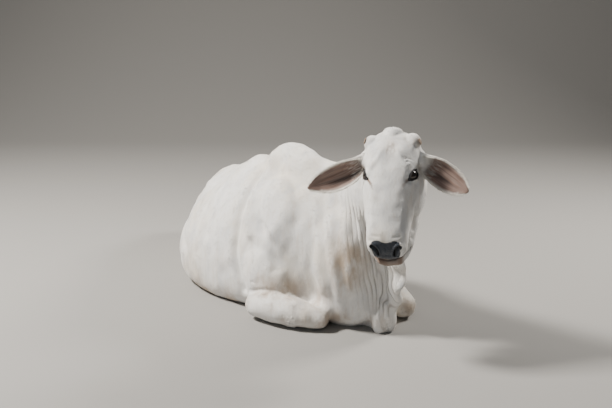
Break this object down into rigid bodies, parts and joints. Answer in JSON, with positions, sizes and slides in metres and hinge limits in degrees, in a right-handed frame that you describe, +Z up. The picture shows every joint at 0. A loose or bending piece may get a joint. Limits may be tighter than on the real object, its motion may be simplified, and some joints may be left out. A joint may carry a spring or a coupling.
{
  "type": "nelore cow",
  "caption": "Young white zebu cow lying on its brisket with folded legs, a hump, drooping ears and a hanging dewlap, head turned to its right.",
  "frame": {"origin": "middle of the footprint on the floor, z = 0 where the animal lies", "axes": "+Z up, -Y the way the animal's body faces, -X its right side"},
  "size_m": [1.025, 2.0394, 0.8967],
  "materials": {
    "coat": "short white hair",
    "ear": "short hair, bare inside",
    "eye": "wet",
    "horn_bud": "rough horn",
    "hoof": "satin horn",
    "switch": "long dark hair"
  },
  "bodies": {
    "root": {"torso": "coat", "hump": "coat", "neck": "coat", "dewlap": "coat", "head": "coat", "ear_left": "ear", "ear_right": "ear", "eye_left": "eye", "eye_right": "eye", "horn_bud_left": "horn_bud", "horn_bud_right": "horn_bud", "foreleg_left": "coat", "foreleg_right": "coat", "hindleg_left": "coat", "hindleg_right": "coat", "hoof_front_left": "hoof", "hoof_front_right": "hoof", "hoof_hind_left": "hoof", "hoof_hind_right": "hoof", "tail": "coat", "tail_switch": "switch"}
  },
  "joints": []
}
